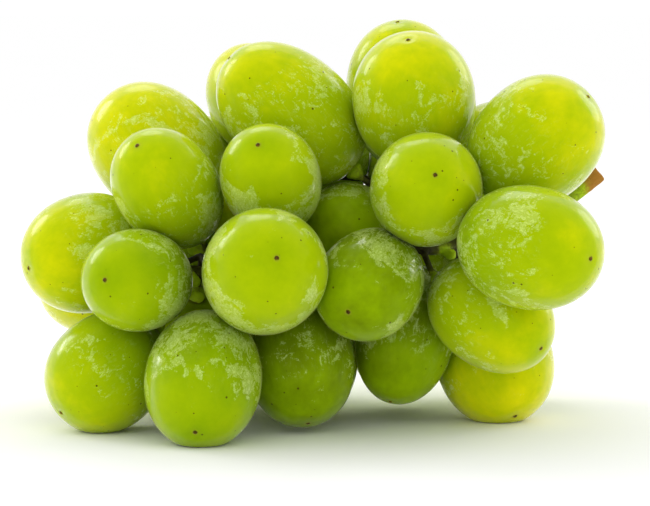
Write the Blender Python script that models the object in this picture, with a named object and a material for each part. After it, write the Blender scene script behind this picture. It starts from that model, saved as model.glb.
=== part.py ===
"""A bunch of green table grapes, picked and laid down on a flat surface.

The bunch is one stalk and the berries that hang from it. The stalk is a cut
peduncle, a curved main stem, its side branches and one pedicel for each berry.
A berry is a long ellipsoid: its length runs from the base, where the pedicel
ends in a flared cushion, to the tip, where the flower left a scar. Berries that
press on each other, and the ones that carry the bunch, are flattened there.

Tables are in millimetres, with X along the bunch, Y into its depth and Z up from
the surface. The finished objects are in metres, centred over the origin.
"""

import math
from dataclasses import dataclass

import bmesh
import bpy
from mathutils import Matrix, Vector

MM = 0.001

SEGMENTS_AROUND_BERRY = 16
RINGS_ALONG_BERRY = 8
CONTACT_GAP = 0.3
SMALLEST_FLAT_DEPTH = 0.03
CUT_SNAP = 0.001
CONTACT_STEPS = 24
CONTACT_STEP_SIZE = 0.6
TABLE_LEVEL = 0.25

PEDICEL_RADIUS = 0.8
PEDICEL_SIDES = 6
PEDICEL_RINGS = 5
CUSHION_RADIUS = 1.7
CUSHION_LENGTH = 1.6
PEDICEL_LEAD = 0.35
BRANCH_LEAD = 0.3

STEM_SIDES = 10
BRANCH_SIDES = 8
POINTS_PER_SPAN = 3

BERRY_COLOUR = (0.42, 0.58, 0.03, 1.0)
GREENER_BERRY_COLOUR = (0.20, 0.34, 0.03, 1.0)
BERRY_ROUGHNESS = 0.35
STALK_COLOUR = (0.16, 0.13, 0.04, 1.0)
STALK_ROUGHNESS = 0.7


@dataclass(frozen=True)
class Branch:
    """A woody branch: the points along its middle, and its radius at each end."""

    points: tuple
    start_radius: float
    end_radius: float
    sides: int = BRANCH_SIDES


@dataclass(frozen=True)
class Berry:
    """A berry: its middle, where its tip points, its two sizes and its branch.

    heading is the compass turn of the tip in degrees, 0 towards -Y and 90
    towards +X, and rise is the tip's angle above the horizontal.
    """

    name: str
    centre: tuple
    heading: float
    rise: float
    length: float
    girth: float
    branch: str

    @property
    def middle(self):
        return Vector(self.centre)

    @property
    def axis(self):
        """The unit vector from the base to the tip."""
        turn, lift = math.radians(self.heading), math.radians(self.rise)
        flat = math.cos(lift)
        return Vector((math.sin(turn) * flat, -math.cos(turn) * flat, math.sin(lift)))

    def reach(self, direction):
        """How far the berry reaches from its middle along a unit direction.

        Returns the distance, and the point of the skin there as an offset.
        """
        long_half, short_half = self.length / 2, self.girth / 2
        along = direction.dot(self.axis)
        stretched = direction * short_half**2
        stretched += self.axis * (along * (long_half**2 - short_half**2))
        distance = math.sqrt(stretched.dot(direction))
        return distance, stretched / distance


BRANCHES = {
    "main_stem": Branch(
        (
            (60.2, 4.0, 54.9),
            (54.0, 3.5, 50.0),
            (47.0, 3.0, 45.5),
            (39.0, 3.0, 41.5),
            (30.0, 5.0, 39.5),
            (21.0, 10.0, 39.0),
            (12.0, 16.5, 38.5),
            (2.0, 19.0, 37.5),
            (-8.0, 15.0, 35.5),
            (-18.0, 7.5, 34.0),
            (-28.0, 3.0, 33.5),
            (-35.0, 3.0, 34.5),
        ),
        2.0,
        0.9,
        STEM_SIDES,
    ),
    "right_shoulder": Branch(((39.0, 3.0, 41.5), (34.0, -4.0, 44.0), (30.0, -10.0, 46.5)), 1.4, 1.0),
    "right_front": Branch(((41.0, 2.8, 42.3), (37.0, -7.0, 41.0), (33.5, -17.0, 40.5)), 1.3, 1.0),
    "front_right": Branch(((29.0, 5.5, 39.5), (25.0, -1.0, 38.5), (21.0, -6.0, 38.5)), 1.3, 1.0),
    "low_right": Branch(((27.0, 6.5, 39.2), (29.0, 12.0, 36.5), (32.0, 16.0, 33.0)), 1.3, 1.0),
    "crown": Branch(((12.0, 16.5, 38.5), (10.5, 16.0, 46.0), (9.5, 15.0, 53.0)), 1.3, 1.0),
    "rear": Branch(((5.0, 18.5, 37.8), (5.0, 23.0, 41.5), (7.0, 27.5, 46.0)), 1.3, 1.0),
    "front_left": Branch(((-17.0, 8.0, 34.2), (-17.5, -1.0, 34.0), (-18.5, -8.0, 31.5)), 1.2, 1.0),
    "left_rear": Branch(((-26.0, 3.5, 33.6), (-28.0, 9.0, 37.0), (-30.0, 14.0, 41.5)), 1.2, 1.0),
}

FRONT_BERRIES = (
    Berry("berry_front_01", (-13.0, -33.5, 36.5), 10, 15, 33.5, 26.0, "front_left"),
    Berry("berry_front_02", (9.0, -23.0, 33.0), -20, -19, 29.0, 22.5, "front_right"),
    Berry("berry_front_03", (21.0, -23.0, 53.0), 5, 15, 31.0, 24.0, "right_shoulder"),
    Berry("berry_front_04", (-40.0, -25.0, 34.0), -25, 5, 28.5, 21.5, "main_stem"),
    Berry("berry_front_05", (-34.0, -15.0, 52.5), -30, 40, 31.0, 22.5, "main_stem"),
    Berry("berry_front_06", (-12.0, -16.5, 54.5), -12, 35, 29.0, 21.5, "front_left"),
    Berry("berry_front_07", (42.0, -38.5, 42.0), 42, -4, 33.5, 25.5, "right_front"),
    Berry("berry_front_08", (35.0, -20.0, 26.0), 45, -23, 31.0, 23.0, "front_right"),
    Berry("berry_front_09", (4.5, 1.5, 42.5), 0, -10, 27.0, 21.0, "crown"),
    Berry("berry_front_10", (-18.6, 0.5, 47.0), -60, 0, 17.0, 13.5, "main_stem"),
)

SIDE_BERRIES = (
    Berry("berry_left_01", (-52.5, -3.5, 37.8), -55, -10, 29.5, 26.0, "main_stem"),
    Berry("berry_left_02", (-52.2, 21.0, 28.6), -130, -10, 30.0, 23.0, "left_rear"),
    Berry("berry_right_01", (44.3, -16.5, 62.5), 65, 40, 31.5, 26.5, "right_shoulder"),
    Berry("berry_right_02", (38.5, 33.0, 42.5), 145, 10, 30.5, 23.5, "low_right"),
    Berry("berry_right_03", (40.0, 30.5, 19.5), 155, -35, 31.0, 24.0, "low_right"),
)

TOP_BERRIES = (
    Berry("berry_top_01", (-37.5, 10.0, 59.0), -105, 45, 34.5, 27.5, "main_stem"),
    Berry("berry_top_02", (-8.0, 3.5, 68.0), -80, 42, 37.0, 26.5, "crown"),
    Berry("berry_top_03", (19.0, -4.5, 71.0), -12, 60, 31.5, 27.0, "crown"),
    Berry("berry_top_04", (17.8, 22.5, 71.5), -25, 75, 34.5, 26.5, "crown"),
    Berry("berry_top_05", (-16.7, 28.6, 70.2), -160, 45, 28.5, 21.6, "crown"),
    Berry("berry_top_06", (40.5, 18.0, 57.0), -145, 35, 30.5, 23.5, "main_stem"),
)

LOW_BERRIES = (
    Berry("berry_low_01", (-47.4, -13.5, 13.1), -55, -35, 28.5, 25.0, "main_stem"),
    Berry("berry_low_02", (-26.0, -29.0, 13.6), -5, -35, 33.0, 25.0, "front_left"),
    Berry("berry_low_03", (-6.0, -14.0, 16.0), 15, -60, 31.0, 24.0, "front_left"),
    Berry("berry_low_04", (17.3, -4.0, 20.2), -30, -64, 32.0, 22.0, "front_right"),
    Berry("berry_low_05", (37.0, 3.0, 14.0), 25, -50, 31.0, 26.0, "low_right"),
    Berry("berry_low_06", (15.8, 18.0, 17.2), 155, -75, 30.0, 22.5, "main_stem"),
    Berry("berry_low_07", (-5.0, 11.5, 14.5), 80, -75, 30.5, 23.5, "main_stem"),
    Berry("berry_low_08", (-31.0, 15.0, 14.0), -165, -60, 30.5, 23.5, "main_stem"),
    Berry("berry_low_09", (-15.5, 34.0, 13.0), -160, -45, 30.5, 23.5, "rear"),
)

BACK_BERRIES = (
    Berry("berry_back_01", (-31.0, 32.0, 30.0), -175, 0, 30.0, 23.0, "left_rear"),
    Berry("berry_back_02", (-28.6, 34.0, 53.2), -165, 35, 31.0, 24.0, "left_rear"),
    Berry("berry_back_03", (-7.5, 38.5, 35.0), -165, 0, 31.0, 23.5, "rear"),
    Berry("berry_back_04", (19.5, 37.5, 31.0), 165, -15, 30.0, 23.5, "rear"),
    Berry("berry_back_05", (-2.0, 40.0, 58.2), -165, 45, 31.5, 24.0, "rear"),
    Berry("berry_back_06", (21.0, 42.0, 53.3), 165, 30, 30.5, 23.5, "rear"),
)

BERRIES = FRONT_BERRIES + SIDE_BERRIES + TOP_BERRIES + LOW_BERRIES + BACK_BERRIES
GREENER_BERRIES = {"berry_front_09", "berry_low_03", "berry_low_04"}


def contact(first, second):
    """Where two berries meet.

    Returns the unit vector from the first to the second across the place where
    they meet, and the distance along it from the first berry's middle to the
    plane halfway between the two skins, or None where the skins stay apart.
    """
    across = second.middle - first.middle
    normal = across.normalized()
    for _ in range(CONTACT_STEPS):
        skins = first.reach(normal)[1] + second.reach(normal)[1]
        normal = (normal + (across - skins) * (CONTACT_STEP_SIZE / across.length)).normalized()
    first_reach = first.reach(normal)[0]
    overlap = first_reach + second.reach(normal)[0] - normal.dot(across)
    if overlap < -CONTACT_GAP:
        return None
    return normal, first_reach - overlap / 2


def flatten(mesh, point, normal):
    """Cuts off what lies beyond a plane and closes the cut with a flat face."""
    deepest = max((vertex.co - point).dot(normal) for vertex in mesh.verts)
    if deepest < SMALLEST_FLAT_DEPTH:
        return
    everything = mesh.verts[:] + mesh.edges[:] + mesh.faces[:]
    bmesh.ops.bisect_plane(
        mesh, geom=everything, dist=CUT_SNAP, plane_co=point, plane_no=normal, clear_outer=True
    )
    rim = [edge for edge in mesh.edges if edge.is_boundary]
    bmesh.ops.holes_fill(mesh, edges=rim, sides=0)


def berry_mesh(berry):
    """The berry's closed skin, with a flat where it meets a neighbour or the surface."""
    mesh = bmesh.new()
    bmesh.ops.create_uvsphere(
        mesh, u_segments=SEGMENTS_AROUND_BERRY, v_segments=RINGS_ALONG_BERRY, radius=1.0
    )
    size = Matrix.Diagonal((berry.girth / 2, berry.girth / 2, berry.length / 2, 1.0))
    turn = berry.axis.to_track_quat("Z", "Y").to_matrix().to_4x4()
    mesh.transform(Matrix.Translation(berry.middle) @ turn @ size)
    for other in BERRIES:
        if other is berry:
            continue
        touching = contact(berry, other)
        if touching:
            normal, distance = touching
            flatten(mesh, berry.middle + normal * (distance - CONTACT_GAP / 2), normal)
    flatten(mesh, Vector((0.0, 0.0, TABLE_LEVEL)), Vector((0.0, 0.0, -1.0)))
    return mesh


def smooth_path(points, spans):
    """Points along a smooth curve through the given ones (Catmull-Rom)."""
    knots = [Vector(point) for point in points]
    knots = [knots[0] * 2 - knots[1], *knots, knots[-1] * 2 - knots[-2]]
    path = []
    for before, start, end, after in zip(knots, knots[1:], knots[2:], knots[3:]):
        for step in range(spans):
            t = step / spans
            path.append(
                0.5
                * (
                    start * 2
                    + (end - before) * t
                    + (before * 2 - start * 5 + end * 4 - after) * t**2
                    + (start * 3 - before - end * 3 + after) * t**3
                )
            )
    path.append(knots[-2])
    return path


def bezier(start, start_handle, end_handle, end, steps):
    """Points along a cubic Bezier curve."""
    path = []
    for step in range(steps + 1):
        t = step / steps
        s = 1 - t
        near_start = start * s**3 + start_handle * 3 * s**2 * t
        near_end = end_handle * 3 * s * t**2 + end * t**3
        path.append(near_start + near_end)
    return path


def tube_mesh(path, radii, sides):
    """A closed tube along a path, its rings turned as little as the bends allow."""
    mesh = bmesh.new()
    before = [path[0], *path[:-1]]
    after = [*path[1:], path[-1]]
    directions = [(end - start).normalized() for start, end in zip(before, after)]
    facing = directions[0].to_track_quat("Z", "Y")
    place = Matrix.Translation(path[0]) @ facing.to_matrix().to_4x4()
    circle = bmesh.ops.create_circle(mesh, segments=sides, radius=radii[0], matrix=place)
    rings = [circle["verts"]]
    for i in range(1, len(path)):
        turn = directions[i - 1].rotation_difference(directions[i]).to_matrix()
        scale = radii[i] / radii[i - 1]
        spokes = [turn @ (vertex.co - path[i - 1]) * scale for vertex in rings[-1]]
        rings.append([mesh.verts.new(path[i] + spoke) for spoke in spokes])
    for near, far in zip(rings, rings[1:]):
        for i in range(sides):
            j = (i + 1) % sides
            mesh.faces.new((near[i], near[j], far[j], far[i]))
    mesh.faces.new(rings[0])
    mesh.faces.new(rings[-1])
    bmesh.ops.recalc_face_normals(mesh, faces=mesh.faces[:])
    return mesh


def branch_tube(branch):
    """A branch, tapering evenly from its start to its end."""
    path = smooth_path(branch.points, POINTS_PER_SPAN)
    thinning = (branch.end_radius - branch.start_radius) / (len(path) - 1)
    radii = [branch.start_radius + thinning * i for i in range(len(path))]
    return tube_mesh(path, radii, branch.sides)


def pedicel_path(berry):
    """The pedicel's middle line, from its branch to just short of the berry's base."""
    base = berry.middle - berry.axis * (berry.length / 2 + CONTACT_GAP)
    lead = base - berry.axis * PEDICEL_LEAD * berry.length / 2
    path = smooth_path(BRANCHES[berry.branch].points, POINTS_PER_SPAN * 2)
    joint = min(path, key=lambda point: (point - lead).length)
    away = (joint - base).length
    base_handle = base - berry.axis * (PEDICEL_LEAD * away)
    joint_handle = joint.lerp(base_handle, BRANCH_LEAD)
    cushion_start = base - berry.axis * CUSHION_LENGTH
    return [*bezier(joint, joint_handle, base_handle, cushion_start, PEDICEL_RINGS), base]


def pedicel_tube(berry):
    """A pedicel with the flared cushion that its berry sits on."""
    path = pedicel_path(berry)
    radii = [PEDICEL_RADIUS] * (len(path) - 1) + [CUSHION_RADIUS]
    return tube_mesh(path, radii, PEDICEL_SIDES)


def material(name, colour, roughness):
    """A plain Principled material."""
    made = bpy.data.materials.new(name)
    made.use_nodes = True
    shader = made.node_tree.nodes["Principled BSDF"]
    shader.inputs["Base Color"].default_value = colour
    shader.inputs["Roughness"].default_value = roughness
    shader.inputs["Metallic"].default_value = 0.0
    made.diffuse_color = colour
    return made


def make_object(name, mesh, finish=None):
    """An object in metres from a bmesh in millimetres, shaded smooth."""
    mesh.transform(Matrix.Scale(MM, 4))
    data = bpy.data.meshes.new(name)
    mesh.to_mesh(data)
    mesh.free()
    data.shade_smooth()
    made = bpy.data.objects.new(name, data)
    bpy.context.scene.collection.objects.link(made)
    if finish:
        data.materials.append(finish)
    return made


def make_stalk():
    """The stalk: every branch and pedicel joined into one body by an exact union."""
    tubes = [branch_tube(branch) for branch in BRANCHES.values()]
    tubes += [pedicel_tube(berry) for berry in BERRIES]
    wood = material("stalk_wood", STALK_COLOUR, STALK_ROUGHNESS)
    stalk = make_object("stalk", tubes[0], wood)
    arms = bpy.data.collections.new("stalk_arms")
    for tube in tubes[1:]:
        arm = make_object("stalk_arm", tube)
        bpy.context.scene.collection.objects.unlink(arm)
        arms.objects.link(arm)
    union = stalk.modifiers.new("arms", "BOOLEAN")
    union.operation = "UNION"
    union.operand_type = "COLLECTION"
    union.solver = "EXACT"
    union.collection = arms
    bpy.context.view_layer.update()
    graph = bpy.context.evaluated_depsgraph_get()
    joined = bpy.data.meshes.new_from_object(stalk.evaluated_get(graph))
    stalk.modifiers.remove(union)
    for arm in list(arms.objects):
        bpy.data.objects.remove(arm)
    bpy.data.collections.remove(arms)
    stalk.data = joined
    joined.name = "stalk"
    return stalk


def make_berries():
    """One object for each berry, the less ripe ones in a deeper green."""
    ripe = material("berry_skin", BERRY_COLOUR, BERRY_ROUGHNESS)
    greener = material("berry_skin_green", GREENER_BERRY_COLOUR, BERRY_ROUGHNESS)
    return [
        make_object(berry.name, berry_mesh(berry), greener if berry.name in GREENER_BERRIES else ripe)
        for berry in BERRIES
    ]


def stand_over_origin(objects):
    """Moves the meshes so that the bunch rests on Z = 0, centred over the origin."""
    corners = [vertex.co for made in objects for vertex in made.data.vertices]
    low = Vector(min(corner[axis] for corner in corners) for axis in range(3))
    high = Vector(max(corner[axis] for corner in corners) for axis in range(3))
    shift = Matrix.Translation((-(low.x + high.x) / 2, -(low.y + high.y) / 2, -low.z))
    for made in objects:
        made.data.transform(shift)


def main():
    """Clears the scene and builds the bunch."""
    for old in list(bpy.data.objects):
        bpy.data.objects.remove(old)
    stand_over_origin([make_stalk(), *make_berries()])


if __name__ == "__main__":
    main()
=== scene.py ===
"""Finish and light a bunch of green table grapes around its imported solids.

Every berry is spun from an oval outline with a flower scar at its tip, eased flat
where it presses on a neighbour or on the table, and dressed in a translucent skin
with waxy bloom and fine brown specks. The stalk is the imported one, with a warty
receptacle grown onto it behind each berry. Sizes are in millimetres unless a name
says otherwise, and the finished meshes are in metres.
"""

import logging
import math
import random
from dataclasses import dataclass, field
from enum import Enum

import bmesh
import bpy
import numpy as np
from mathutils import Matrix, Vector, noise


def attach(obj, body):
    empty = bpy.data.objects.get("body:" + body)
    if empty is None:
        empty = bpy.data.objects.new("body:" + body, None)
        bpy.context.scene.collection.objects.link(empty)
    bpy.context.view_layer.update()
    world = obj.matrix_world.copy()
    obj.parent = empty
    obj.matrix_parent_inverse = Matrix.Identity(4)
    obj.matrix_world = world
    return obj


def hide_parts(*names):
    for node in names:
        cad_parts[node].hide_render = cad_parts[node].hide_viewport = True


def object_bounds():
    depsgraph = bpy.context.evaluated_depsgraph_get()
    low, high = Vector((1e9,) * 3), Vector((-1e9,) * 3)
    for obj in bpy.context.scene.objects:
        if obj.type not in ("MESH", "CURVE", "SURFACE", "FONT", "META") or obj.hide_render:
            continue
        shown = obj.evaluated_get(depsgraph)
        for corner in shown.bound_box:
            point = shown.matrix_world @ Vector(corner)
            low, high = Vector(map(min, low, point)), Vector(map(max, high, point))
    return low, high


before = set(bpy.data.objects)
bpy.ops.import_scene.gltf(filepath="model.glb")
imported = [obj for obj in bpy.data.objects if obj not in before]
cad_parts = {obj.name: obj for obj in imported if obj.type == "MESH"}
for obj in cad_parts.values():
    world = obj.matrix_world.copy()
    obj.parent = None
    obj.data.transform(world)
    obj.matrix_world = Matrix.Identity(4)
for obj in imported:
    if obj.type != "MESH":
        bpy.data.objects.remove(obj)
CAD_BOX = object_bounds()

LOG = logging.getLogger("grapes")
MM = 0.001
BODY = "root"
MERGE_DISTANCE = 1e-4
PACKED_MERGE_METRES = 1e-6
Colour = tuple[float, float, float]
Value = "Wire | float | int | tuple"


class Slot(Enum):
    """The record's material slots."""

    RIPE = "berry_skin"
    # A darker copy of the skin that paints shade onto the low middle berries.
    GREENER = "berry_skin_green"
    STALK = "stalk_wood"


# -------------------------------------------------------------------------- meshes


def placed(name: str, data: bpy.types.ID) -> bpy.types.Object:
    """Put a mesh, a lamp or a lens into the scene.

    Args:
        name: The new object's name.
        data: What the object holds.

    Returns:
        The object, at the origin.
    """
    thing = bpy.data.objects.new(name, data)
    bpy.context.scene.collection.objects.link(thing)
    return thing


def standing(at: Vector, along: Vector) -> Matrix:
    """Return the matrix that moves the origin to a point and turns Z along a direction."""
    return Matrix.Translation(at) @ along.to_track_quat("Z", "Y").to_matrix().to_4x4()


def stand_off(
    thing: bpy.types.Object, target: Vector, azimuth: float, elevation: float, distance: float
) -> None:
    """Stand a lamp or a camera off from a target, facing it.

    Args:
        thing: The lamp or the camera.
        target: What it faces.
        azimuth: Its angle round the target from the front, in degrees.
        elevation: Its angle above the target's level, in degrees.
        distance: How far off it stands, in metres.
    """
    turn, lift = math.radians(azimuth), math.radians(elevation)
    away = Vector((math.sin(turn) * math.cos(lift), -math.cos(turn) * math.cos(lift), math.sin(lift)))
    thing.location = target + away * distance
    thing.rotation_euler = away.to_track_quat("Z", "Y").to_euler()


def rank(face: bmesh.types.BMFace, count: int) -> int:
    """Rank a face by its three lowest corners, in a shape that has count of them."""
    first, second, third = sorted(corner.index for corner in face.verts)[:3]
    return (first * count + second) * count + third


def spun(outline: list, steps: int) -> bmesh.types.BMesh:
    """Spin an outline about the Z axis into a closed shape.

    Args:
        outline: Points in the XZ plane, from one pole to the other.
        steps: How many steps the spin takes.

    Returns:
        The shape, merged, with its faces pointing outwards and always in the same order.
    """
    shape = bmesh.new()
    dots = [shape.verts.new(point) for point in outline]
    lines = [shape.edges.new(pair) for pair in zip(dots, dots[1:])]
    bmesh.ops.spin(
        shape, geom=dots + lines, cent=(0, 0, 0), axis=(0, 0, 1), dvec=(0, 0, 0),
        angle=2 * math.pi, steps=steps, use_merge=True, use_duplicate=False,
    )
    bmesh.ops.remove_doubles(shape, verts=shape.verts[:], dist=MERGE_DISTANCE)
    bmesh.ops.recalc_face_normals(shape, faces=shape.faces[:])
    shape.verts.index_update()
    shape.faces.sort(key=lambda face: rank(face, len(shape.verts)))
    return shape


def as_mesh(shape: bmesh.types.BMesh, name: str) -> bpy.types.Mesh:
    """Turn a finished shape into a mesh.

    Args:
        shape: The shape. It is freed.
        name: The mesh's name.

    Returns:
        The mesh.
    """
    mesh = bpy.data.meshes.new(name)
    shape.to_mesh(mesh)
    shape.free()
    return mesh


def points_of(mesh: bpy.types.Mesh) -> np.ndarray:
    """Read where a mesh's points are.

    Args:
        mesh: The mesh.

    Returns:
        The points, one to a row.
    """
    flat = np.empty(len(mesh.vertices) * 3, np.float32)
    mesh.vertices.foreach_get("co", flat)
    return flat.reshape(-1, 3).astype(float)


def move_points(mesh: bpy.types.Mesh, points: np.ndarray) -> None:
    """Move all of a mesh's points."""
    mesh.vertices.foreach_set("co", points.astype(np.float32).ravel())


def store(mesh: bpy.types.Mesh, name: str, values: np.ndarray) -> None:
    """Store a number or a vector for each point of a mesh.

    Args:
        mesh: The mesh.
        name: The attribute's name.
        values: One number or one row of three to a point.
    """
    kind, key = ("FLOAT_VECTOR", "vector") if values.ndim == 2 else ("FLOAT", "value")
    layer = mesh.attributes.new(name, kind, "POINT")
    layer.data.foreach_set(key, values.astype(np.float32).ravel())


def smooth_bump(distance: np.ndarray, width: float) -> np.ndarray:
    """Return 1 at a distance of 0, falling smoothly to nothing over a few widths."""
    return np.exp(-((distance / width) ** 2))


# --------------------------------------------------------------------------- nodes


class Wire:
    """One output of a shader node, which Python's operators extend with Math nodes."""

    def __init__(self, bench: "Bench", socket: bpy.types.NodeSocket) -> None:
        """Keep the bench that the socket belongs to."""
        self.bench = bench
        self.socket = socket

    def __add__(self, other: Value) -> "Wire":
        """Return self + other."""
        return self.bench.maths("ADD", self, other)

    def __sub__(self, other: Value) -> "Wire":
        """Return self - other."""
        return self.bench.maths("SUBTRACT", self, other)

    def __rsub__(self, other: Value) -> "Wire":
        """Return other - self."""
        return self.bench.maths("SUBTRACT", other, self)

    def __mul__(self, other: Value) -> "Wire":
        """Return self * other."""
        return self.bench.maths("MULTIPLY", self, other)

    def __truediv__(self, other: Value) -> "Wire":
        """Return self / other."""
        return self.bench.maths("DIVIDE", self, other)

    def __rtruediv__(self, other: Value) -> "Wire":
        """Return other / self."""
        return self.bench.maths("DIVIDE", other, self)

    def __pow__(self, other: Value) -> "Wire":
        """Return self to the power of other."""
        return self.bench.maths("POWER", self, other)

    def __rpow__(self, other: Value) -> "Wire":
        """Return other to the power of self."""
        return self.bench.maths("POWER", other, self)

    __radd__ = __add__
    __rmul__ = __mul__


class Bench:
    """A node tree being wired up. Every node on it comes from make()."""

    def __init__(self, tree: bpy.types.NodeTree) -> None:
        """Start on an empty tree."""
        tree.nodes.clear()
        self.tree = tree

    def make(self, kind: str, settings: dict | None = None, sockets: dict | None = None) -> bpy.types.Node:
        """Make one node.

        Args:
            kind: The node's type, without its leading "ShaderNode".
            settings: Its properties, and "stops", which are a ramp's colour stops.
            sockets: The value or the wire of each input, by name or by number.

        Returns:
            The node.
        """
        node = self.tree.nodes.new("ShaderNode" + kind)
        for name, value in (settings or {}).items():
            if name == "stops":
                self._set_stops(node.color_ramp, value)
            else:
                setattr(node, name, value)
        for key, value in (sockets or {}).items():
            if isinstance(value, Wire):
                self.tree.links.new(value.socket, node.inputs[key])
            else:
                node.inputs[key].default_value = value
        return node

    @staticmethod
    def _set_stops(ramp: bpy.types.ColorRamp, stops: list[tuple[float, Colour]]) -> None:
        """Give a colour ramp its stops.

        Args:
            ramp: The ramp.
            stops: The place and the colour of each stop, in order.
        """
        while len(ramp.elements) < len(stops):
            ramp.elements.new(1.0)
        for element, (place, colour) in zip(ramp.elements, stops):
            element.position = place
            element.color = (*colour, 1.0)

    def wire(self, node: bpy.types.Node, output: str | int = 0) -> Wire:
        """Return one output of a node."""
        return Wire(self, node.outputs[output])

    def maths(self, operation: str, *values: Value) -> Wire:
        """Return the result of a Math node."""
        return self.wire(self.make("Math", {"operation": operation}, dict(enumerate(values))))

    def attribute(self, name: str, output: str = "Fac") -> Wire:
        """Return one of the mesh's own attributes."""
        return self.wire(self.make("Attribute", {"attribute_name": name}), output)

    def vector_maths(self, operation: str, *values: Value) -> Wire:
        """Return the result of a Vector Math node."""
        return self.wire(self.make("VectorMath", {"operation": operation}, dict(enumerate(values))))

    def split(self, vector: Wire) -> list[Wire]:
        """Return the three parts of a vector."""
        node = self.make("SeparateXYZ", sockets={0: vector})
        return [self.wire(node, axis) for axis in range(3)]

    def noise(self, place: Wire, scale: float, detail: float, roughness: float, twist: float = 0.0) -> Wire:
        """Make a noise.

        Args:
            place: The point that it is read at.
            scale: Its features to one unit of place.
            detail: How many finer layers it has.
            roughness: How strong the finer layers are.
            twist: How far it is distorted.

        Returns:
            The noise, from 0 to 1.
        """
        layers = {"Detail": detail, "Roughness": roughness, "Distortion": twist}
        sockets = {"Vector": place, "Scale": scale, **layers}
        return self.wire(self.make("TexNoise", sockets=sockets), "Fac")

    def step(self, value: Wire, start: float, end: float) -> Wire:
        """Make a smooth rise.

        Args:
            value: What it follows.
            start: The value below which it is 0.
            end: The value above which it is 1.

        Returns:
            The rise, from 0 to 1.
        """
        sockets = {"Value": value, "From Min": start, "From Max": end}
        return self.wire(self.make("MapRange", {"interpolation_type": "SMOOTHSTEP"}, sockets))

    def fade(self, value: Wire, start: float, end: float) -> Wire:
        """Return 1 where value is below start and 0 above end, with a smooth fall between."""
        return 1.0 - self.step(value, start, end)

    def mix(self, factor: Value, first: Value, second: Value, blend: str = "MIX") -> Wire:
        """Blend two colours.

        Args:
            factor: How far the blend goes from the first to the second.
            first: One colour.
            second: The other.
            blend: The way that they are blended.

        Returns:
            The blend.
        """
        settings = {"data_type": "RGBA", "blend_type": blend}
        colours = {6: self._opaque(first), 7: self._opaque(second)}
        return self.wire(self.make("Mix", settings, {0: factor, **colours}), 2)

    @staticmethod
    def _opaque(colour: Value) -> Value:
        """Return a plain colour with its alpha, and a wire as it is."""
        return colour if isinstance(colour, Wire) else (*colour, 1.0)

    def ramp(self, value: Wire, stops: list[tuple[float, Colour]]) -> Wire:
        """Return the colour of a ramp at a value."""
        return self.wire(self.make("ValToRGB", {"stops": stops}, {0: value}), "Color")


def principled(name: str, constants: dict) -> tuple[bpy.types.Material, Bench, bpy.types.Node]:
    """Make a material that is one Principled shader.

    Args:
        name: The material's name.
        constants: The sockets that are the same all over the surface.

    Returns:
        The material, its bench, and the shader node.
    """
    material = bpy.data.materials.new(name)
    material.use_nodes = True
    bench = Bench(material.node_tree)
    shader = bench.make("BsdfPrincipled", sockets=constants)
    bench.make("OutputMaterial", sockets={"Surface": bench.wire(shader)})
    return material, bench, shader


def connect(bench: Bench, shader: bpy.types.Node, wires: dict[str, Wire]) -> None:
    """Feed wires into a shader's sockets.

    Args:
        bench: The bench that the shader is on.
        shader: The shader.
        wires: The wire for each socket, by the socket's name.
    """
    for name, wire in wires.items():
        bench.tree.links.new(wire.socket, shader.inputs[name])


# ------------------------------------------------------------------------ finishes


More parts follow.
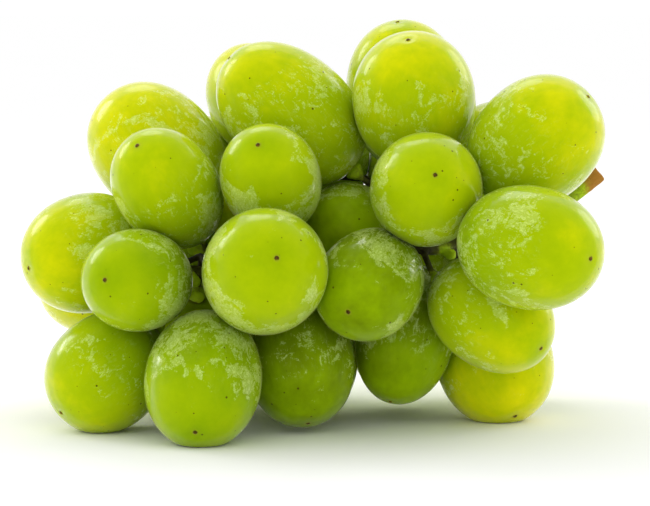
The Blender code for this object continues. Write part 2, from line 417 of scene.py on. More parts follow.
@dataclass(frozen=True)
class GrapeSkin:
    """Grape skin: translucent, waxy, with bloom rubbed off in places and brown specks.

    The mesh gives it "place", a point on the berry in millimetres with Z as the
    depth below the tip; "share", 0 at the tip and 1 at the base; "seed", a shift
    that makes each berry's pattern its own; its ripeness, which also carries painted glow and painted
    shade, and "wax", both from 0 to 1.
    """

    name: str
    unripe: Colour = (0.122, 0.186, 0.001)
    green: Colour = (0.27, 0.412, 0.001)
    ripe: Colour = (0.41, 0.528, 0.001)
    golden: Colour = (0.74, 0.71, 0.002)
    film: Colour = (0.64, 0.77, 0.27)
    # Pale wax grains, brightened into painted glints.
    grit: Colour = (0.84, 0.93, 0.36)
    speck: Colour = (0.055, 0.034, 0.004)
    scar: Colour = (0.045, 0.024, 0.006)
    scorched: Colour = (0.12, 0.055, 0.010)
    scar_rim: Colour = (0.36, 0.34, 0.03)
    base_ring: Colour = (0.16, 0.14, 0.02)
    scatter_depth: float = 8.0
    film_strength: float = 0.31
    grit_strength: float = 0.34
    speck_strength: float = 0.88
    specks_per_mm: float = 0.40
    rim_strength: float = 0.4
    scar_edge: tuple = (0.36, 0.56)
    scar_rim_edge: tuple = (0.55, 1.0)
    film_edge: tuple = (0.665, 0.695)
    grit_edge: tuple = (0.61, 0.67)

    def dress(self) -> bpy.types.Material:
        """Make the material.

        Returns:
            The material.
        """
        constants = {
            "IOR": 1.22,
            "Specular Tint": (1.0, 1.0, 0.1, 1.0),
            "Subsurface Weight": 1.0,
            "Subsurface Radius": (1.0, 1.0, 0.25),
            "Subsurface Scale": self.scatter_depth * MM,
            "Coat Roughness": 0.07,
            "Coat IOR": 1.8,
            "Sheen Weight": 0.13,
            "Sheen Roughness": 0.30,
            "Sheen Tint": (0.95, 1.0, 0.50, 1.0),
        }
        material, bench, shader = principled(self.name, constants)
        place = bench.attribute("place", "Vector")
        pattern = bench.vector_maths("ADD", place, bench.attribute("seed", "Vector"))
        across = self._distance_from_axis(bench, place)
        share = bench.attribute("share")
        film, grit = self._bloom(bench, pattern, share)
        specks = self._specks(bench, pattern)
        tip = bench.fade(share, 0.15, 0.2)
        from_scar = across + (bench.noise(pattern, 2.2, 3, 0.6) - 0.5) * 0.5
        scar = bench.fade(from_scar, *self.scar_edge) * tip
        scar_rim = bench.fade(from_scar, *self.scar_rim_edge) * tip * self.rim_strength
        colour = self._flesh(bench, pattern, across, share)
        colour = bench.mix(film * self.film_strength, colour, self.film)
        # The grit's bright colour paints glints onto the wax.
        colour = bench.mix(grit * self.grit_strength, colour, self.grit)
        colour = bench.mix(self._base_ring(bench, pattern, across, share), colour, self.base_ring)
        colour = bench.mix(specks, colour, self.speck)
        colour = bench.mix(scar_rim, colour, self.scar_rim)
        burnt = bench.ramp(bench.noise(pattern, 2.6, 2, 0.5), [(0.45, self.scar), (0.62, self.scorched)])
        colour = bench.mix(scar, colour, burnt)
        wires = {
            "Base Color": colour,
            "Roughness": 0.20 + film * 0.25 + grit * 0.15 + scar * 0.3,
            "Coat Weight": self._shine(bench, film) * (1.0 - scar) * (1.0 - bench.attribute("pressed")),
            "Normal": self._relief(bench, pattern, grit, specks),
        }
        connect(bench, shader, wires)
        return material

    @staticmethod
    def _shine(bench: Bench, film: Wire) -> Wire:
        """Work out the waxy shine, which grows as the skin turns away from the eye.

        Args:
            bench: The skin's bench.
            film: The pale film of bloom, which shines more.

        Returns:
            The coat's weight on clean skin.
        """
        edge = bench.wire(bench.make("LayerWeight", sockets={"Blend": 0.5}), "Facing")
        clean = bench.step(edge, 0.42, 0.50) * 0.3 + bench.step(edge, 0.62, 0.88) * 0.38
        return clean + bench.step(edge, 0.22, 0.50) * film * 0.4

    @staticmethod
    def _distance_from_axis(bench: Bench, place: Wire) -> Wire:
        """Return how far a point is from the line through the berry's base and tip."""
        x, y, _ = bench.split(place)
        return (x * x + y * y) ** 0.5

    def _flesh(self, bench: Bench, pattern: Wire, across: Wire, share: Wire) -> Wire:
        """Work out the colour under the bloom, with clouds, faint veins and a painted shadow of the seeds
        and core at the tip.

        Args:
            bench: The skin's bench.
            pattern: The point that patterns are read at.
            across: The distance from the berry's axis.
            share: How far the point is from the tip to the base.

        Returns:
            The colour.
        """
        clouds = bench.noise(pattern, 0.11, 2, 0.5) - 0.5
        mottle = bench.noise(pattern, 0.55, 4, 0.6, 0.4) - 0.5
        wavering = across + bench.noise(pattern, 0.25, 2, 0.5) * 4
        # Painted shadow of the seeds and core, seen through the skin near the tip.
        painted_seed_shadow = bench.fade(wavering, 3.5, 8.5) * bench.fade(share, 0.1, 0.4)
        veins = bench.noise(bench.vector_maths("MULTIPLY", pattern, (0.7, 0.7, 0.1)), 1.0, 2, 0.5) - 0.5
        ripeness = bench.attribute("ripeness") + clouds * 0.44 + mottle * 0.16 + veins * 0.14 - painted_seed_shadow * 0.10
        stops = [(0.0, self.unripe), (0.33, self.green), (0.66, self.ripe), (1.0, self.golden)]
        return bench.ramp(ripeness, stops)

    def _bloom(self, bench: Bench, pattern: Wire, share: Wire) -> tuple[Wire, Wire]:
        """Work out the two kinds of bloom, which lie in the same patches, rubbed off round the tip.

        Args:
            bench: The skin's bench.
            pattern: The point that patterns are read at.
            share: How far the point is from the tip to the base.

        Returns:
            The scratched pale film, and the bright grit of wax grains with painted glints, which reaches
            past the film's edges.
        """
        patches = bench.noise(pattern, 0.13, 2, 0.5, 0.8)
        rubbed = bench.noise(pattern, 0.36, 5, 0.62, 1.6)
        dashes = bench.noise(bench.vector_maths("MULTIPLY", pattern, (1.9, 1.9, 0.6)), 1.0, 4, 0.7)
        bare = bench.fade(share + (patches - 0.5) * 0.6, 0.10, 0.34)
        cover = patches * 0.5 + rubbed * 0.5 + bench.attribute("wax") * 0.34 - bare * 0.22
        strokes = bench.noise(pattern, 0.6, 4, 0.62, 2.2) - 0.5
        scratches = bench.fade(bench.maths("ABSOLUTE", strokes), 0.006, 0.030)
        film = bench.step(cover, *self.film_edge) * (1.0 - scratches * 0.8) * (0.55 + dashes * 0.8)
        # Fine wax grains whose bright colour paints glints.
        grains_and_glints = bench.step(bench.noise(pattern, 2.9, 3, 0.7) * 0.55 + dashes * 0.45, 0.50, 0.575)
        stray = bench.step(rubbed * 0.5 + dashes * 0.5, 0.50, 0.60) * 0.16 * (1.0 - bare)
        grit = bench.step(cover, *self.grit_edge) * grains_and_glints
        return film, grit + (1.0 - grit) * stray

    def _specks(self, bench: Bench, pattern: Wire) -> Wire:
        """Scatter the brown specks, each of a size that its own cell gives.

        Args:
            bench: The skin's bench.
            pattern: The point that patterns are read at.

        Returns:
            How much of the speck's colour a point has.
        """
        cells = bench.make("TexVoronoi", sockets={"Vector": pattern, "Scale": self.specks_per_mm})
        reach = bench.split(bench.wire(cells, "Color"))[0]
        distance = bench.wire(cells, "Distance") / self.specks_per_mm / (0.09 + reach * reach * 0.26)
        return bench.fade(distance, 0.5, 1.0) * self.speck_strength

    @staticmethod
    def _base_ring(bench: Bench, pattern: Wire, across: Wire, share: Wire) -> Wire:
        """Return the brownish ring in the skin round the receptacle."""
        uneven = across + bench.noise(pattern, 0.9, 3, 0.6)
        return bench.fade(uneven, 2.3, 3.4) * bench.step(share, 0.8, 0.9) * 0.7

    @staticmethod
    def _relief(bench: Bench, pattern: Wire, grit: Wire, specks: Wire) -> Wire:
        """Raise the skin's fine grain, its gritty bloom and its specks.

        Args:
            bench: The skin's bench.
            pattern: The point that patterns are read at.
            grit: The gritty bloom, whose colour also paints glints.
            specks: The brown specks.

        Returns:
            The normal.
        """
        fine = bench.noise(pattern, 1.3, 3, 0.6)
        broad = bench.noise(pattern, 0.22, 2, 0.5)
        height = fine * 0.035 + broad * 0.16 + grit * 0.03 + specks * 0.08
        bump = bench.make("Bump", sockets={"Height": height, "Distance": 1.0 * MM, "Strength": 0.55})
        return bench.wire(bump)


@dataclass(frozen=True)
class StalkBark:
    """The stalk's skin: green where it is fresh, brightened as painted light, drying to brown and
    orange-brown, the dry brown darkened to near black as painted shade.

    The mesh gives it "dryness", from 0 for fresh green to 1 for dry brown, and
    "cut", from 0 to 1 towards the cut end.
    """

    name: str = "stalk_bark"
    # Fresh green, brightened as painted light onto receptacles and stubs that sit in shade.
    fresh: Colour = (0.52, 0.74, 0.008)
    drying: Colour = (0.10, 0.11, 0.008)
    # Dry brown darkened to near black, as painted shade in the gaps between the berries.
    dry: Colour = (0.022, 0.014, 0.004)
    cut: Colour = (0.42, 0.19, 0.025)
    pore: Colour = (0.05, 0.03, 0.012)

    def dress(self) -> bpy.types.Material:
        """Make the material.

        Returns:
            The material.
        """
        constants = {
            "IOR": 1.25,
            "Subsurface Weight": 0.25,
            "Subsurface Radius": (1.0, 0.8, 0.3),
            "Subsurface Scale": 0.8 * MM,
        }
        material, bench, shader = principled(self.name, constants)
        place = bench.wire(bench.make("TexCoord"), "Object")
        pattern = bench.vector_maths("SCALE", place)
        pattern.socket.node.inputs["Scale"].default_value = 1 / MM
        fibre = bench.noise(pattern, 0.9, 5, 0.65, 0.8)
        pores = bench.noise(pattern, 3.2, 3, 0.6)
        dryness = bench.attribute("dryness") + (fibre - 0.5) * 0.7
        colour = bench.ramp(dryness, [(0.1, self.fresh), (0.5, self.drying), (0.9, self.dry)])
        cut = bench.step(bench.attribute("cut") + (fibre - 0.5) * 0.5, 0.25, 0.75)
        colour = bench.mix(cut, colour, self.cut)
        spots = bench.step(pores, 0.62, 0.7) * 0.6
        colour = bench.mix(spots, colour, self.pore)
        height = fibre * 0.25 + pores * 0.08
        bump = bench.make("Bump", sockets={"Height": height, "Distance": 1.0 * MM, "Strength": 0.5})
        wires = {"Base Color": colour, "Roughness": 0.50 + pores * 0.3, "Normal": bench.wire(bump)}
        connect(bench, shader, wires)
        return material


@dataclass(frozen=True)
class PaleFloor:
    """The studio floor's matt white."""

    name: str = "pale_floor"
    shade: Colour = (0.975, 0.975, 0.975)
    darker: Colour = (0.965, 0.965, 0.965)

    def dress(self) -> bpy.types.Material:
        """Make the material, with a barely visible unevenness.

        Returns:
            The material.
        """
        material, bench, shader = principled(self.name, {"Specular IOR Level": 0.0})
        place = bench.wire(bench.make("TexCoord"), "Object")
        unevenness = bench.noise(place, 3.0, 3, 0.5)
        wires = {
            "Base Color": bench.mix(unevenness, self.shade, self.darker),
            "Roughness": 0.8 + unevenness * 0.1,
        }
        connect(bench, shader, wires)
        return material


# ------------------------------------------------------------------------- berries


@dataclass(frozen=True)
class Oval:
    """The oval that a packed berry was cut from, in millimetres."""

    middle: Vector
    axis: Vector
    length: float
    girth: float

    @property
    def base(self) -> Vector:
        """Where the pedicel meets the berry."""
        return self.middle - self.axis * (self.length / 2)

    def turned(self) -> Matrix:
        """Return the matrix from the berry's own frame, with +Z towards the tip."""
        return standing(self.middle, self.axis)

    def reach(self, direction: Vector) -> tuple[float, Vector]:
        """Find how far the skin reaches along a unit direction.

        Args:
            direction: A unit vector.

        Returns:
            The distance from the middle, and the point of the skin as an offset.
        """
        long_half, short_half = self.length / 2, self.girth / 2
        along = direction.dot(self.axis)
        stretched = direction * short_half**2
        stretched += self.axis * (along * (long_half**2 - short_half**2))
        distance = math.sqrt(stretched.dot(direction))
        return distance, stretched / distance


@dataclass(frozen=True)
class Nature:
    """How one berry differs from the others.

    Its ripeness runs from 0, deep green, to 1, golden, and the lowest values, on the berries with the
    darker skin, paint shade onto the low middle of the bunch; wax is how much bloom is left;
    roll turns the berry's pattern and unevenness about its axis, in degrees.
    """

    ripeness: float
    wax: float
    roll: float = 0.0
    slot: Slot = Slot.RIPE


# front_09, low_03 and low_04 wear the darker copy of the skin and the lowest ripeness, which together paint
# the shade on the low middle of the bunch.
NATURES = {
    "berry_front_01": Nature(0.44, 0.58, 320),
    "berry_front_02": Nature(0.16, 0.50, 40),
    "berry_front_03": Nature(0.48, 0.40, 150),
    "berry_front_04": Nature(0.34, 0.46, 120),
    "berry_front_05": Nature(0.53, 0.36, 265),
    "berry_front_06": Nature(0.46, 0.56, 230),
    "berry_front_07": Nature(0.47, 0.34, 240),
    "berry_front_08": Nature(0.58, 0.32, 280),
    "berry_front_09": Nature(0.21, 0.46, 320, Slot.GREENER),
    "berry_front_10": Nature(0.62, 0.20, 10),
    "berry_left_01": Nature(0.66, 0.36, 30),
    "berry_left_02": Nature(0.78, 0.12, 70),
    "berry_right_01": Nature(0.62, 0.28, 65),
    "berry_top_01": Nature(0.75, 0.42, 150),
    "berry_top_02": Nature(0.62, 0.30, 215),
    "berry_top_03": Nature(0.67, 0.32, 230),
    "berry_top_04": Nature(0.68, 0.42, 270),
    "berry_top_05": Nature(0.75, 0.30, 310),
    "berry_low_01": Nature(0.50, 0.20, 350),
    "berry_low_02": Nature(0.28, 0.46, 75),
    "berry_low_03": Nature(0.10, 0.30, 60, Slot.GREENER),
    "berry_low_04": Nature(0.21, 0.42, 100, Slot.GREENER),
    "berry_low_05": Nature(0.72, 0.30, 140),
}


@dataclass
class Berries:
    """All the berries, each spun from its outline, eased flat at its contacts and dressed."""

    spin_steps: int = 96
    outline_steps: int = 64
    bluntness: float = 2.10
    lean: float = 0.025
    unevenness: float = 0.16
    contact_gap: float = 0.06
    contact_reach: float = 1.6
    contact_softness: float = 0.16
    dull_reach: float = 2.2
    contact_rounds: int = 24
    contact_step: float = 0.6
    fit_rounds: int = 25
    fit_share: float = 0.5
    scar_steps: tuple = (0.0, 0.14, 0.26, 0.34, 0.40, 0.46, 0.56, 0.72, 0.95, 1.3, 1.8, 2.5)
    base_steps: tuple = (0.0, 0.7, 1.3, 1.8, 2.3, 2.8, 3.4, 4.1)
    scar_height: float = 0.30
    scar_radius: float = 0.38
    scar_softness: float = 0.05
    tip_dimple: float = 0.22
    tip_dimple_width: float = 1.3
    base_dimple: float = 0.75
    base_dimple_width: float = 2.4
    # Yellows the side of each berry that faces out of the bunch: partly sun ripening, partly a painted glow
    # of the light from behind.
    ripening: float = 0.22
    tip_ripening: float = 0.09
    base_greening: float = 0.20
    swell_pulls: tuple = (1.6, 2.3, 3.1)
    hidden_ripeness: tuple = (0.42, 0.66)
    hidden_wax: tuple = (0.3, 0.6)
    pattern_reach: float = 500.0
    seed: int = 7
    ovals: dict[str, Oval] = field(default_factory=dict)

    def build(self) -> list[bpy.types.Object]:
        """Make every berry.

        Returns:
            The berries' objects.
        """
        names = [name for name in sorted(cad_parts) if name.startswith("berry")]
        self.ovals = {name: self._oval_of(name) for name in names}
        skins = {
            Slot.RIPE: GrapeSkin("grape_skin").dress(),
            # This darker copy paints shade onto the low middle berries.
            Slot.GREENER: GrapeSkin("grape_skin_green", ripe=(0.33, 0.48, 0.002)).dress(),
        }
        dice = random.Random(self.seed)
        made = []
        for name, oval in self.ovals.items():
            ripeness = dice.uniform(*self.hidden_ripeness)
            wax = dice.uniform(*self.hidden_wax)
            nature = NATURES.get(name, Nature(ripeness, wax, roll=dice.uniform(0, 360)))
            seed = Vector([dice.uniform(-self.pattern_reach, self.pattern_reach) for _ in range(3)])
            berry = self._make(name, oval, nature, seed)
            berry.data.materials.append(skins[nature.slot])
            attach(berry, BODY)
            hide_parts(name)
            LOG.info("%s: %.1f x %.1f mm", berry.name, oval.length, oval.girth)
            made.append(berry)
        return made

    def _oval_of(self, name: str) -> Oval:
        """Find the oval that a packed berry was cut from, by leaving out the corners on its flats.

        Args:
            name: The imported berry.

        Returns:
            The oval, its axis pointing away from the stalk.
        """
        corners = np.array([vertex.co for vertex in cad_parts[name].data.vertices]) / MM
        start = corners.mean(0)
        x, y, z = (corners - start).T
        terms = np.stack([x * x, y * y, z * z, 2 * x * y, 2 * x * z, 2 * y * z, 2 * x, 2 * y, 2 * z], 1)
        kept = np.ones(len(corners), bool)
        for _ in range(self.fit_rounds):
            found = np.linalg.lstsq(terms[kept], np.ones(kept.sum()), rcond=None)[0]
            misses = np.abs(terms @ found - 1)
            kept = misses <= np.quantile(misses, self.fit_share)
        xx, yy, zz, xy, xz, yz = found[:6]
        shape = np.array([[xx, xy, xz], [xy, yy, yz], [xz, yz, zz]])
        middle = -np.linalg.solve(shape, found[6:])
        spread, axes = np.linalg.eigh(shape / (1 + middle @ shape @ middle))
        halves = 1 / np.sqrt(spread)
        oval = Oval(Vector(middle + start), Vector(axes[:, 0]), 2 * halves[0], halves[1] + halves[2])
        return self._tip_away_from_stalk(oval)

    @staticmethod
    def _tip_away_from_stalk(oval: Oval) -> Oval:
        """Point an oval's axis away from the stalk.

        Args:
            oval: The oval, whose axis may point either way.

        Returns:
            The oval with its base at the end that is nearer to the stalk.
        """
        wood = np.array([vertex.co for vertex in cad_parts["stalk"].data.vertices]) / MM
        ends = [np.array(oval.middle + oval.axis * (side * oval.length / 2)) for side in (-1, 1)]
        near, far = (np.linalg.norm(wood - end, axis=1).min() for end in ends)
        return oval if near < far else Oval(oval.middle, -oval.axis, oval.length, oval.girth)

    def _outline(self, oval: Oval) -> list[Vector]:
        """Draw the berry's half outline in its own frame, from the tip to the base.

        Args:
            oval: The berry's oval.

        Returns:
            Points in the XZ plane.
        """
        half, radius, power = oval.length / 2, oval.girth / 2, 2 / self.bluntness
        start = math.asin((self.scar_steps[-1] / radius) ** (1 / power))
        end = math.pi - math.asin((self.base_steps[-1] / radius) ** (1 / power))
        turns = [math.asin((step / radius) ** (1 / power)) for step in self.scar_steps[:-1]]
        steps = self.outline_steps
        turns += [start + (end - start) * step / steps for step in range(steps + 1)]
        turns += [math.pi - math.asin((step / radius) ** (1 / power)) for step in self.base_steps[-2::-1]]
        points = []
        for turn in turns:
            reach = radius * abs(math.sin(turn)) ** power
            height = half * math.copysign(abs(math.cos(turn)) ** power, math.cos(turn))
            points.append(Vector((reach, 0.0, height + self._end_shape(reach, height))))
        points[0].x = 0.0
        points[-1].x = 0.0
        return points

    def _end_shape(self, across: float, height: float) -> float:
        """Work out how far the scar or a dimple moves the skin along the axis.

        Args:
            across: The point's distance from the axis.
            height: Its height above the middle, towards the tip.

        Returns:
            The move, towards the tip where it is above 0.
        """
        if height < 0:
            return self.base_dimple * math.exp(-((across / self.base_dimple_width) ** 2))
        dimple = -self.tip_dimple * math.exp(-((across / self.tip_dimple_width) ** 2))
        nub = self.scar_height / (1 + math.exp((across - self.scar_radius) / self.scar_softness))
        return dimple + nub

    def _make(self, name: str, oval: Oval, nature: Nature, seed: Vector) -> bpy.types.Object:
        """Make one berry.

        Args:
            name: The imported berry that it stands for.
            oval: Its oval.
            nature: How it differs from the others.
            seed: What shifts its pattern.

        Returns:
            The berry's object.
        """
        mesh = as_mesh(spun(self._outline(oval), self.spin_steps), "berry")
        own = points_of(mesh)
        place = own * (1, 1, -1) + (0, 0, oval.length / 2)
        skin = self._uneven(own, oval, seed)
        matrix = np.array(oval.turned() @ Matrix.Rotation(math.radians(nature.roll), 4, "Z"))
        skin = skin @ matrix[:3, :3].T + matrix[:3, 3]
        skin, pressed = self._eased(skin, name, oval)
        move_points(mesh, skin * MM)
        store(mesh, "place", place)
        store(mesh, "seed", np.tile(np.array(seed), (len(place), 1)))
        store(mesh, "share", place[:, 2] / oval.length)
        store(mesh, "wax", np.full(len(place), nature.wax))
        store(mesh, "pressed", pressed)
        store(mesh, "ripeness", self._ripeness(skin, oval, nature))
        mesh.shade_smooth()
        mesh.update()
        return placed(name.replace("berry", "grape"), mesh)

    def _uneven(self, own: np.ndarray, oval: Oval, seed: Vector) -> np.ndarray:
        """Make one end of a berry a little fuller, and raise soft low swellings.

        Args:
            own: The skin's points in the berry's own frame.
            oval: The berry's oval.
            seed: What makes its unevenness its own.

        Returns:
            The moved points.
        """
        side = math.copysign(1.0, seed.x)
        fuller = 1 + side * self.lean * own[:, 2] / (oval.length / 2)
        skin = own * np.stack([fuller, fuller, np.ones(len(own))], 1)
        outward = own / (oval.girth / 2, oval.girth / 2, oval.length / 2)
        dice = random.Random(str(seed))
        swelling = np.zeros(len(own))
        for pull in self.swell_pulls:
            direction = np.array([dice.gauss(0, 1) for _ in range(3)])
            direction /= np.linalg.norm(direction)
            wave = np.sin(outward @ direction * pull + dice.uniform(0, 6.28))
            swelling += wave * self.unevenness / pull
        return skin + outward * swelling[:, None]

    def _eased(self, skin: np.ndarray, name: str, oval: Oval) -> tuple[np.ndarray, np.ndarray]:
        """Press the skin flat against its neighbours and against the table, with soft shoulders.

        Args:
            skin: The skin's points.
            name: The berry's name.
            oval: Its oval.

        Returns:
            The pressed points, and how close each is to what it presses on, from 0 to 1.
        """
        planes = [(Vector((0, 0, 0)), Vector((0, 0, -1)))]
        for other_name, other in self.ovals.items():
            touching = None if other_name == name else self._contact(oval, other)
            if touching:
                normal, distance = touching
                planes.append((oval.middle + normal * (distance - self.contact_gap / 2), normal))
        pressed = np.zeros(len(skin))
        for point, normal in planes:
            over = (skin - np.array(point)) @ np.array(normal)
            depth = self.contact_softness * np.logaddexp(0, over / self.contact_softness)
            skin = skin - np.outer(depth, np.array(normal))
            pressed = np.maximum(pressed, np.clip(1 + over / self.dull_reach, 0, 1))
        return skin, pressed

    def _contact(self, first: Oval, second: Oval) -> tuple[Vector, float] | None:
        """Find the plane that two berries press on.

        Args:
            first: One berry.
            second: The other.

        Returns:
            The unit vector across the contact and the plane's distance along it from
            the first berry's middle, or None where the two are well apart.
        """
        across = second.middle - first.middle
        if across.length > (first.length + second.length) / 2 + self.contact_reach:
            return None
        normal = across.normalized()
        for _ in range(self.contact_rounds):
            skins = first.reach(normal)[1] + second.reach(normal)[1]
            normal = (normal + (across - skins) * (self.contact_step / across.length)).normalized()
        first_reach = first.reach(normal)[0]
        overlap = first_reach + second.reach(normal)[0] - normal.dot(across)
        return None if overlap < -self.contact_reach else (normal, first_reach - overlap / 2)

    def _ripeness(self, skin: np.ndarray, oval: Oval, nature: Nature) -> np.ndarray:
        """Work out each point's ripeness with painted light: riper at the tip, and yellower on the side
        that faces out of the bunch, partly from sun ripening and partly as a painted glow of the light from
        behind.

        Args:
            skin: The skin's points.
            oval: The berry's oval.
            nature: How it differs from the others.

        Returns:
            The ripeness of each point, with its painted glow.
        """
        low, high = (np.array(corner) / MM for corner in CAD_BOX)
        centre = (low + high) / 2
        outward = (np.array(oval.middle) - centre) / (high - low) * 2
        facing = (skin - np.array(oval.middle)) / (oval.girth / 2)
        along = (skin - np.array(oval.middle)) @ np.array(oval.axis)
        share = 0.5 - along / oval.length
        lengthwise = self.tip_ripening - share * self.base_greening
        # The outward term adds sun ripening and a painted glow of the light from behind.
        return nature.ripeness + facing @ outward * self.ripening / 2 + lengthwise


# --------------------------------------------------------------------------- stalk


@dataclass
class Stalk:
    """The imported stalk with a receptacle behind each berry, grown together and roughened.

    A stub is the short green end of a pedicel whose berry never set. Each one is given
    by where its tip is, and grows from the nearest wood.
    """

    ovals: dict[str, Oval]
    stubs: tuple = ((29.6, -3.5, 37.2), (-27.1, -1.0, 38.0), (-26.5, -2.0, 31.0), (-25.7, -3.0, 27.6))
    stub_radius: float = 1.25
    voxel: float = 0.30
    smoothing: int = 6
    collar_steps: int = 20
    collar: tuple = (
        (0.0, 0.55), (1.15, 0.5), (1.75, 0.15), (2.15, -0.35),
        (2.1, -0.8), (1.6, -1.5), (1.15, -2.5), (0.0, -3.2),
    )
    grain: float = 0.07
    grain_pitch: float = 0.9
    warts: float = 0.20
    wart_pitch: float = 1.7
    wart_reach: float = 3.2
    green_reach: float = 3.6
    cut_length: float = 5.0
    cut_share: float = 1.5
    peduncle_length: float = 15.0
    oldest: float = 0.85
    berry_freshness: float = 0.90
    peduncle_freshness: float = 0.7

    def build(self) -> bpy.types.Object:
        """Make the stalk.

        Returns:
            The stalk's object.
        """
        shape = bmesh.new()
        shape.from_mesh(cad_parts["stalk"].data)
        bmesh.ops.remove_doubles(shape, verts=shape.verts[:], dist=PACKED_MERGE_METRES)
        shape.transform(Matrix.Scale(1 / MM, 4))
        wood = [vertex.co.copy() for vertex in shape.verts]
        for oval in self.ovals.values():
            self._add_collar(shape, oval)
        for tip in self.stubs:
            self._add_stub(shape, Vector(tip), wood)
        mesh = self._grown_together(shape)
        self._roughen(mesh)
        mesh.transform(Matrix.Scale(MM, 4))
        mesh.shade_smooth()
        mesh.materials.append(StalkBark().dress())
        stalk = placed("grape_stalk", mesh)
        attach(stalk, BODY)
        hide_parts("stalk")
        LOG.info("%s: %d faces", stalk.name, len(mesh.polygons))
        return stalk

    def _add_collar(self, shape: bmesh.types.BMesh, oval: Oval) -> None:
        """Add the flared receptacle that a berry sits on.

        Args:
            shape: What it is added to.
            oval: The berry's oval.
        """
        part = spun([(across, 0, along) for across, along in self.collar], self.collar_steps)
        part.transform(standing(oval.base, oval.axis))
        piece = as_mesh(part, "collar")
        shape.from_mesh(piece)
        bpy.data.meshes.remove(piece)

    def _add_stub(self, shape: bmesh.types.BMesh, tip: Vector, wood: list[Vector]) -> None:
        """Add a short cone from the nearest wood to a tip, with a round bud on it.

        Args:
            shape: What it is added to.
            tip: Where the stub ends.
            wood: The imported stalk's points.
        """
        root = min(wood, key=lambda point: (point - tip).length)
        along = tip - root
        place = standing((root + tip) / 2, along)
        bmesh.ops.create_cone(
            shape, cap_ends=True, segments=self.collar_steps, radius1=self.stub_radius * 0.7,
            radius2=self.stub_radius, depth=along.length, matrix=place,
        )
        bmesh.ops.create_icosphere(
            shape, subdivisions=3, radius=self.stub_radius, matrix=Matrix.Translation(tip)
        )

    def _grown_together(self, shape: bmesh.types.BMesh) -> bpy.types.Mesh:
        """Fuse the wood and the receptacles into one smooth skin.

        Args:
            shape: The stalk and its receptacles, in millimetres. It is freed.

        Returns:
            The fused mesh.
        """
        rough = as_mesh(shape, "stalk_rough")
        holder = placed("stalk_rough", rough)
        fuse = holder.modifiers.new("fuse", "REMESH")
        fuse.mode = "VOXEL"
        fuse.voxel_size = self.voxel
        soften = holder.modifiers.new("soften", "SMOOTH")
        soften.factor = 0.5
        soften.iterations = self.smoothing
        graph = bpy.context.evaluated_depsgraph_get()
        mesh = bpy.data.meshes.new_from_object(holder.evaluated_get(graph))
        bpy.data.objects.remove(holder)
        bpy.data.meshes.remove(rough)
        mesh.name = "stalk"
        return mesh

    def _roughen(self, mesh: bpy.types.Mesh) -> None:
        """Raise grain all over and warts round each receptacle, and store how dry the skin is.

        Args:
            mesh: The fused stalk, in millimetres.
        """
        points = points_of(mesh)
        normals = np.array([vertex.normal for vertex in mesh.vertices])
        bases = np.array([oval.base for oval in self.ovals.values()] + list(self.stubs))
        nearest = np.min(np.linalg.norm(points[:, None] - bases[None], axis=2), axis=1)
        near_berry = smooth_bump(nearest, self.wart_reach)
        rows = [Vector(point) for point in points]
        grain = np.array([noise.fractal(row * self.grain_pitch, 1.0, 2.0, 3) for row in rows])
        warts = np.array([noise.noise(row * self.wart_pitch) for row in rows])
        raised = grain * self.grain + np.clip(warts, 0, 1) * self.warts * near_berry
        points += normals * raised[:, None]
        move_points(mesh, points)
        end = points[np.argmax(points[:, 0])]
        from_cut = np.linalg.norm(points - end, axis=1)
        cut = np.clip(self.cut_share - from_cut / self.cut_length, 0, 1)
        dryness = self.oldest - self.berry_freshness * smooth_bump(nearest, self.green_reach)
        dryness -= self.peduncle_freshness * smooth_bump(from_cut, self.peduncle_length)
        store(mesh, "cut", cut)
        store(mesh, "dryness", np.clip(dryness, 0, 1))


# -------------------------------------------------------------------------- studio


@dataclass(frozen=True)
class Softbox:
    """A soft lamp: where it stands round the bunch, how big it is and how bright."""

    name: str
    azimuth: float
    elevation: float
    distance: float
    size: float
    watts: float

    def place(self, target: Vector) -> None:
        """Set the lamp up.

        Args:
            target: What it faces. Distances here are in metres.
        """
        lamp = bpy.data.lights.new(self.name, "AREA")
        lamp.shape = "DISK"
        lamp.size = self.size
        lamp.energy = self.watts
        stand_off(placed(self.name, lamp), target, self.azimuth, self.elevation, self.distance)


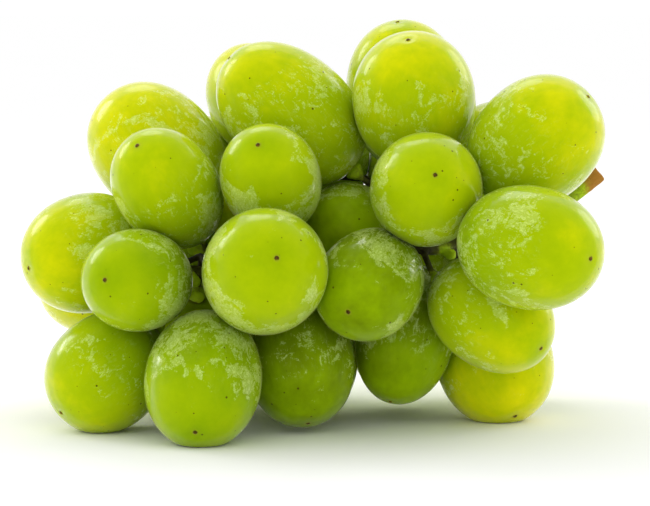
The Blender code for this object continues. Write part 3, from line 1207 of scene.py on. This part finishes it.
@dataclass
class Studio:
    """The white floor, the soft lamps, the white surroundings and the camera."""

    floor_radius: float = 30.0
    floor_corners: int = 96
    camera_distance: float = 0.620
    camera_elevation: float = 5.0
    camera_aim: tuple = (0.00205, -0.0015, -0.0067)
    lens: float = 156.07
    sky: float = 1.03
    softboxes: tuple = (
        Softbox("rim_left", -120, 30, 0.9, 0.4, 1.5),
        Softbox("rim_right", 125, 25, 0.9, 0.5, 1.1),
        Softbox("top", -165, 52, 0.9, 0.4, 0.6),
        Softbox("front", -15, 14, 1.1, 1.0, 1.1),
    )

    def build(self) -> None:
        """Set the studio up."""
        centre = (CAD_BOX[0] + CAD_BOX[1]) / 2
        self._camera(centre + Vector(self.camera_aim))
        for softbox in self.softboxes:
            softbox.place(centre)
        self._floor()
        self._surroundings()
        bpy.context.scene.view_settings.view_transform = "Standard"
        LOG.info("studio: %d softboxes", len(self.softboxes))

    def _camera(self, target: Vector) -> None:
        """Place the camera, nearly level with the bunch and in front of it.

        Args:
            target: What it looks at.
        """
        lens = bpy.data.cameras.new("camera")
        lens.lens = self.lens
        lens.sensor_width = 36.0
        lens.clip_start = 0.01
        lens.clip_end = 100.0
        camera = placed("camera", lens)
        stand_off(camera, target, 0.0, self.camera_elevation, self.camera_distance)
        bpy.context.scene.camera = camera

    def _floor(self) -> None:
        """Lay the round floor, wide enough to reach the horizon."""
        shape = bmesh.new()
        bmesh.ops.create_circle(
            shape, cap_ends=True, segments=self.floor_corners, radius=self.floor_radius
        )
        mesh = as_mesh(shape, "floor")
        mesh.materials.append(PaleFloor().dress())
        floor = placed("floor", mesh)

    def _surroundings(self) -> None:
        """Fill the room with even white light."""
        world = bpy.data.worlds.new("studio")
        bpy.context.scene.world = world
        world.use_nodes = True
        bench = Bench(world.node_tree)
        light = bench.make("Background", sockets={"Color": (1, 1, 1, 1), "Strength": self.sky})
        bench.make("OutputWorld", sockets={"Surface": bench.wire(light)})


def main() -> None:
    """Build the bunch and its studio."""
    logging.basicConfig(level=logging.INFO, format="%(name)s: %(message)s")
    berries = Berries()
    berries.build()
    Stalk(berries.ovals).build()
    Studio().build()


if __name__ == "__main__":
    main()
